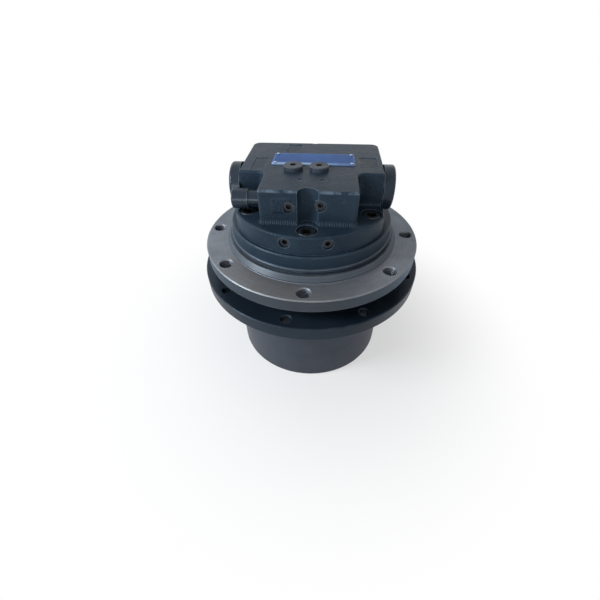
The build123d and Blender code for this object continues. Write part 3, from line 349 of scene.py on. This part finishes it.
def ground(name, colour, rough=0.25, metal=1.0, scale=(900.0, 900.0, 90.0)):
    """Ground or cut metal with fine directional marks and an oily film."""
    g = Graph(name)
    deep = tuple(c * 0.6 for c in colour)
    edge_glint = tuple(min(1.0, c * 1.6 + 0.02) for c in colour)
    marks = g.noise(1.0, 4, 0.6, at=g.stretched(scale))
    film = g.noise(40, 4)
    tint = g.mix(g.spread(film, 0.4, 0.75), colour, deep)
    # Edges lightened as painted highlights
    tint = g.over(tint, edge_glint, g.edges(0.0004), 0.4)
    roughness = g.spread(marks, 0.25, 0.8, rough - 0.06, rough + 0.12)
    skin = g.bump(marks, 0.00008, 0.6)
    return g.set(colour=tint, rough=roughness, normal=skin, metal=metal)


def rubber(name):
    """Black rubber, a little mottled and grained."""
    g = Graph(name)
    skin = g.bump(g.noise(700, 4), 0.0002, 0.5)
    tint = g.mix(g.noise(80, 4), (0.012, 0.012, 0.012), (0.03, 0.03, 0.03))
    roughness = g.spread(g.noise(120, 3), 0.3, 0.7, 0.5, 0.75)
    return g.set(colour=tint, rough=roughness, normal=skin, metal=0.0)


def casing_skin(name):
    """Dark paint, with bare turned steel on the frame flange, and partly on the cone and lip;
    painted shade on upright steel walls and painted highlights on edges and thread crests.
    """
    g = Graph(name)
    paint_dark, paint_light = (0.010, 0.019, 0.031), (0.021, 0.037, 0.056)
    paint_wear_and_glint = (0.17, 0.22, 0.29)
    steel_clean, steel_stained = (0.235, 0.245, 0.266), (0.155, 0.164, 0.182)
    tarnish_colour = (0.2, 0.172, 0.142)
    groove_colour, swirl_colour = (0.075, 0.08, 0.09), (0.3, 0.31, 0.33)
    wall_shade_colour, edge_glint_colour = (0.034, 0.04, 0.052), (0.36, 0.38, 0.42)
    thread_glint_colour = (0.3, 0.32, 0.36)

    # Where the steel is bare
    x, y, z = g.axes()
    r = g.radius()
    uneven = g.wavy(z, 90, 0.0008)
    flange = g.band(uneven, FRAME_UNDER - 0.0006, PILOT_TOP - 0.0004, 0.0003)
    lip = g.times(g.band(uneven, LIP_LOW + 0.0002, LIP_TOP + 0.0006, 0.0004), 0.35)
    cone = g.times(g.band(uneven, PILOT_TOP - 0.0002, CONE_TOP + 0.0002, 0.0004), 0.42)
    bare = g.math("MAXIMUM", flange, g.math("MAXIMUM", lip, cone))

    # Steel: turning marks, stains, patches of tarnish, painted shade on upright walls and painted
    # highlights on edges
    rings = g.rings(CASING_TURNING)
    angle = g.math("ARCTAN2", y, x)
    round_axis = g.combine(g.times(r, 1800.0), g.times(angle, 5.0), g.times(z, 700.0))
    swirl = g.noise(1.0, 3, 0.6, at=round_axis)
    stains = g.noise(24, 6, 0.65)
    wall = g.spread(g.axes(g.normal)[2], 0.7, 0.3)
    steel = g.mix(g.spread(stains, 0.36, 0.74), steel_clean, steel_stained)
    tarnish = g.spread(g.noise(11, 4, 0.6), 0.5, 0.68)
    steel = g.over(steel, tarnish_colour, tarnish, 0.5)
    steel = g.over(steel, groove_colour, g.spread(rings, 0.35, 0.65), 0.3)
    steel = g.over(steel, swirl_colour, g.spread(swirl, 0.5, 0.72), 0.35)
    steel = g.over(steel, wall_shade_colour, wall, 0.88)
    edge = g.edges(0.0009)
    steel = g.over(steel, edge_glint_colour, edge, 0.55)

    # Thread marks on the bare walls within the flange's rim, mainly those of its holes, their
    # crests painted lighter as highlights
    thread = g.math("SINE", g.times(z, 2.0 * math.pi / THREAD_PITCH))
    within = g.spread(r, FRAME_RADIUS - 0.003, FRAME_RADIUS - 0.0015, 1.0, 0.0)
    inside = g.times(g.times(wall, bare), within)
    steel = g.mix(g.times(inside, g.spread(thread, -0.2, 0.7)), steel, thread_glint_colour)

    # Paint, its edges lightened partly as rubbed paint and partly as painted highlights
    broad = g.noise(16, 3)
    paint = g.mix(g.spread(broad, 0.3, 0.72), paint_dark, paint_light)
    rub_and_glint = g.times(edge, g.spread(g.noise(60, 4, 0.6), 0.26, 0.5))
    paint = g.over(paint, paint_wear_and_glint, rub_and_glint, 0.85)

    fine = g.noise(420, 5, 0.6)
    marks = g.add(g.times(rings, 0.16), g.times(swirl, 0.1))
    skin = g.bump(g.between(bare, g.times(fine, 0.5), marks), 0.0005, 0.5)
    skin = g.bump(g.times(inside, thread), 0.0007, 0.6, after=skin)
    paint_rough = g.spread(broad, 0.3, 0.75, 0.36, 0.46)
    steel_rough = g.spread(stains, 0.3, 0.75, 0.4, 0.54)
    return g.set(
        colour=g.mix(bare, paint, steel), metal=g.times(bare, 0.5), specular=0.2,
        aniso=0.3, tangent=g.round_z(), rough=g.between(bare, paint_rough, steel_rough),
        normal=skin, tint=COOL, coat=0.06, coat_rough=0.25, coat_normal=skin,
    )


def hub_skin(name):
    """Dark paint with edges lightened partly as rubbed paint and partly as painted highlights, and
    specks of dust, greyer and spotted on the turned barrel.
    """
    g = Graph(name)
    paint_dark, paint_light = (0.007, 0.012, 0.02), (0.015, 0.023, 0.035)
    grey_dark, grey_light = (0.040, 0.045, 0.059), (0.056, 0.061, 0.077)
    spot_colour, wear_and_highlight, speck_colour = (0.035, 0.04, 0.055), (0.15, 0.17, 0.2), (0.2, 0.22, 0.25)
    uneven = g.wavy(g.axes()[2], 60, 0.003)
    barrel = g.spread(uneven, SPROCKET_LOW - 0.004, SPROCKET_LOW, 1.0, 0.0)
    rings = g.rings(HUB_TURNING)
    broad = g.noise(14, 4)
    paint = g.mix(g.spread(broad, 0.35, 0.7), paint_dark, paint_light)
    grey = g.mix(g.spread(g.noise(28, 5, 0.6), 0.35, 0.72), grey_dark, grey_light)
    tint = g.mix(barrel, paint, grey)
    spot = g.times(g.spread(g.noise(75, 6, 0.7), 0.6, 0.74), 0.5)
    tint = g.mix(g.times(spot, barrel), tint, spot_colour)
    # Edges lightened, partly as rubbed paint and partly as painted highlights
    edge = g.times(g.edges(0.001), g.spread(g.noise(90, 5, 0.65), 0.36, 0.62))
    tint = g.over(tint, wear_and_highlight, edge, 0.6)
    specks = g.spread(g.cells(90), 0.0, 0.06, 1.0, 0.0)
    specks = g.times(specks, g.spread(g.noise(40, 3), 0.52, 0.6))
    tint = g.over(tint, speck_colour, specks, 0.4)
    paint_rough = g.spread(broad, 0.3, 0.75, 0.34, 0.48)
    barrel_rough = g.spread(broad, 0.3, 0.75, 0.42, 0.54)
    roughness = g.between(barrel, paint_rough, barrel_rough)
    fine = g.noise(380, 5, 0.6)
    skin = g.bump(g.add(g.times(fine, 0.5), g.times(rings, 0.12)), 0.0005, 0.4)
    return g.paint(tint, roughness, skin, specular=0.15, coat=0.08, coat_rough=0.3)


def plate_skin(name):
    """Blue anodised sheet: brushed along X, with a pale rim and a painted highlight along its
    front, strongest on the left.
    """
    g = Graph(name)
    blue_dark, blue_light = (0.008, 0.04, 0.19), (0.018, 0.08, 0.3)
    brushed_colour, rim_colour = (0.03, 0.1, 0.32), (0.2, 0.34, 0.6)
    front_glint_colour = (0.42, 0.56, 0.8)
    x, y = g.axes()[:2]
    brushed = g.noise(1.0, 3, 0.6, at=g.combine(g.times(x, 60.0), g.times(y, 2600.0), 0.0))
    cloud = g.noise(38, 5, 0.6)
    blue = g.mix(g.spread(cloud, 0.35, 0.7), blue_dark, blue_light)
    blue = g.over(blue, brushed_colour, brushed, 0.25)
    field = g.times(g.band(x, *PLATE_FIELD_X, 0.0003), g.band(y, *PLATE_FIELD_Y, 0.0003))
    tint = g.over(blue, rim_colour, g.math("SUBTRACT", 1.0, field), 0.3)
    # Painted highlight along the front edge, strongest on the left half
    front_glint = g.band(g.wavy(y, 70, 0.006), -0.002, 0.0042, 0.0012)
    front_glint = g.times(front_glint, g.spread(x, 0.0, 0.03, 1.0, 0.25))
    tint = g.over(tint, front_glint_colour, front_glint, 0.75)
    return g.set(
        colour=tint, rough=g.spread(brushed, 0.3, 0.7, 0.24, 0.4), metal=0.35,
        normal=g.bump(brushed, 0.00008, 0.5), specular=0.15, tint=COOL,
    )


steel = ground("ground_steel", (0.52, 0.53, 0.55))
spool_steel = ground("spool_steel", (0.48, 0.49, 0.51), rough=0.2, scale=(1800.0, 120.0, 120.0))
oxide = ground("screw_black", (0.05, 0.056, 0.066), rough=0.38, metal=0.85)
gear = ground("gear_flanks", (0.42, 0.42, 0.44), rough=0.3, scale=(500.0, 500.0, 500.0))
iron = ground("machined_iron", (0.2, 0.2, 0.205), rough=0.5, metal=0.6,
              scale=(300.0, 300.0, 300.0))
bronze = ground("bronze_film", (0.55, 0.36, 0.16), rough=0.32)
spring_steel = ground("spring_wire", (0.3, 0.31, 0.33), rough=0.3)
cap_paint = cap_skin("cap_paint")
black_rubber = rubber("seal_rubber")

look = {
    "motor_casing": casing_skin("casing_skin"),
    "hub": hub_skin("hub_skin"),
    "rear_cover": cover_skin("cover_paint"),
    "end_cover": turned("end_cover_face", (0.045, 0.052, 0.066), END_COVER_TURNING,
                        rough=0.42, metal=0.3),
    "top_plugs": turned("plug_faces", (0.055, 0.07, 0.095), PLUG_TURNING, rough=0.36, metal=0.55),
    "nameplate": plate_skin("blue_plate"),
    "nameplate_rivets": ground("rivet_metal", (0.4, 0.44, 0.52), rough=0.3),
}
for material, names in (
    (cap_paint, ("counterbalance_caps", "shift_valve_cap")),
    (spool_steel, ("counterbalance_spool", "shift_spool")),
    (oxide, ("cover_screws", "hex_plugs", "oil_plugs", "retaining_ring", "bearing_nut")),
    (black_rubber, ("cover_seal", "end_cover_seal", "seal_rubber_casing", "seal_rubber_hub",
                    "shaft_seal")),
    (spring_steel, ("counterbalance_spring_left", "counterbalance_spring_right", "shift_spring",
                    "brake_springs")),
    (bronze, ("piston_shoes", "valve_plate", "thrust_pad", "friction_plates", "bearing_cages")),
    (iron, ("first_carrier", "swash_plate", "brake_piston")),
    (gear, tuple(name for name in nodes if "gear" in name)),
):
    for name in names:
        look[name] = material

for name, node in nodes.items():
    node.data.materials.clear()
    node.data.materials.append(look.get(name, steel))


# ---------------------------------------------------------------- copies of the springs, as pieces of their own


def coils(name):
    """A copy of a spring's node, as a piece of its own."""
    piece = bpy.data.objects.new(name + "_coils", nodes[name].data.copy())
    bpy.context.scene.collection.objects.link(piece)
    return piece


def live_spring(name):
    """A copy of a spring, which shortens towards its end furthest along the axis as a joint moves,
    put in place of its node and attached to the casing's body.
    """
    piece = coils(name)
    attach(piece, "casing")
    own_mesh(piece)
    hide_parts(name)


def centring_spring(name):
    """A copy of a spring, whose outer end sits on its cap and inner end on the spool, put in place
    of its node with its placement baked into its mesh.
    """
    piece = coils(name)
    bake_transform(piece)
    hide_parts(name)


live_spring("brake_springs")
live_spring("shift_spring")
centring_spring("counterbalance_spring_left")
centring_spring("counterbalance_spring_right")


# ---------------------------------------------------------------- floor, lights and camera


def seen_directly(tree):
    """1 for the camera's rays and for those that metal and glass send on, else 0."""
    path = tree.nodes.new("ShaderNodeLightPath")
    total = path.outputs["Is Camera Ray"]
    for name in ("Is Glossy Ray", "Is Transmission Ray"):
        node = tree.nodes.new("ShaderNodeMath")
        node.operation = "MAXIMUM"
        tree.links.new(total, node.inputs[0])
        tree.links.new(path.outputs[name], node.inputs[1])
        total = node.outputs[0]
    return total


def floor_material():
    """Pale and matte, so that it takes the shadow, with more and more plain white further off."""
    material = bpy.data.materials.new("pale_floor")
    material.use_nodes = True
    tree = material.node_tree
    shader = tree.nodes["Principled BSDF"]
    shader.inputs["Base Color"].default_value = (0.9, 0.9, 0.905, 1.0)
    shader.inputs["Roughness"].default_value = 0.9
    shader.inputs["Specular IOR Level"].default_value = 0.0
    glow = tree.nodes.new("ShaderNodeEmission")
    glow.inputs["Strength"].default_value = 1.0
    place = tree.nodes.new("ShaderNodeTexCoord")
    distance = tree.nodes.new("ShaderNodeVectorMath")
    distance.operation = "LENGTH"
    tree.links.new(place.outputs["Object"], distance.inputs[0])
    white = tree.nodes.new("ShaderNodeMapRange")
    white.interpolation_type = "SMOOTHSTEP"
    white.inputs["From Min"].default_value = FLOOR_RISE_FROM
    white.inputs["From Max"].default_value = FLOOR_RISE_TO
    white.inputs["To Min"].default_value = FLOOR_LEAST_WHITE
    white.inputs["To Max"].default_value = 1.0
    tree.links.new(distance.outputs["Value"], white.inputs["Value"])
    share = tree.nodes.new("ShaderNodeMath")
    share.operation = "MULTIPLY"
    tree.links.new(white.outputs[0], share.inputs[0])
    tree.links.new(seen_directly(tree), share.inputs[1])
    mix = tree.nodes.new("ShaderNodeMixShader")
    tree.links.new(share.outputs[0], mix.inputs[0])
    tree.links.new(shader.outputs[0], mix.inputs[1])
    tree.links.new(glow.outputs[0], mix.inputs[2])
    tree.links.new(mix.outputs[0], tree.nodes["Material Output"].inputs["Surface"])
    return material


floor_mesh = bpy.data.meshes.new("floor")
shape = bmesh.new()
bmesh.ops.create_circle(shape, cap_ends=True, segments=96, radius=FLOOR_RADIUS)
shape.to_mesh(floor_mesh)
shape.free()
floor = bpy.data.objects.new("floor", floor_mesh)
floor.location.z = -FLOOR_DROP
floor_mesh.materials.append(floor_material())
bpy.context.scene.collection.objects.link(floor)

# White where it is seen directly, and dimmer as a light
world = bpy.data.worlds.new("studio")
bpy.context.scene.world = world
world.use_nodes = True
world_tree = world.node_tree
background = world_tree.nodes["Background"]
background.inputs["Color"].default_value = (1.0, 1.0, 1.0, 1.0)
strength = world_tree.nodes.new("ShaderNodeMapRange")
strength.inputs["To Min"].default_value = WORLD_LIGHT
strength.inputs["To Max"].default_value = 1.0
world_tree.links.new(seen_directly(world_tree), strength.inputs["Value"])
world_tree.links.new(strength.outputs[0], background.inputs["Strength"])


def lamp(name, place, size, power, colour):
    """A soft rectangle of light that points at the object's middle."""
    data = bpy.data.lights.new(name, "AREA")
    data.shape = "RECTANGLE"
    data.size, data.size_y = size
    data.energy = power
    data.color = colour
    obj = bpy.data.objects.new(name, data)
    obj.location = place
    way = Vector(LAMP_TARGET) - Vector(place)
    obj.rotation_euler = way.to_track_quat("-Z", "Y").to_euler()
    bpy.context.scene.collection.objects.link(obj)


lamp("key", (-0.85, -0.4, 0.7), (0.36, 0.45), 10.0, (0.86, 0.94, 1.0))
lamp("back_top", (-0.8, 0.75, 0.8), (0.7, 0.3), 1.2, (0.9, 0.96, 1.0))
lamp("side", (1.0, -0.35, 0.45), (0.4, 0.5), 0.35, (1.0, 0.985, 0.96))
lamp("front", (-0.25, -1.1, 0.35), (0.5, 0.35), 2.6, (0.92, 0.97, 1.0))

camera_data = bpy.data.cameras.new("camera")
camera_data.sensor_width = 36.0
camera_data.lens = CAMERA_LENS_MM
camera_data.clip_start = 0.01
camera = bpy.data.objects.new("camera", camera_data)
camera.location = CAMERA_PLACE
camera.rotation_euler = tuple(math.radians(a) for a in CAMERA_TURN_DEG)
bpy.context.scene.collection.objects.link(camera)
bpy.context.scene.camera = camera
bpy.context.scene.view_settings.view_transform = "Standard"
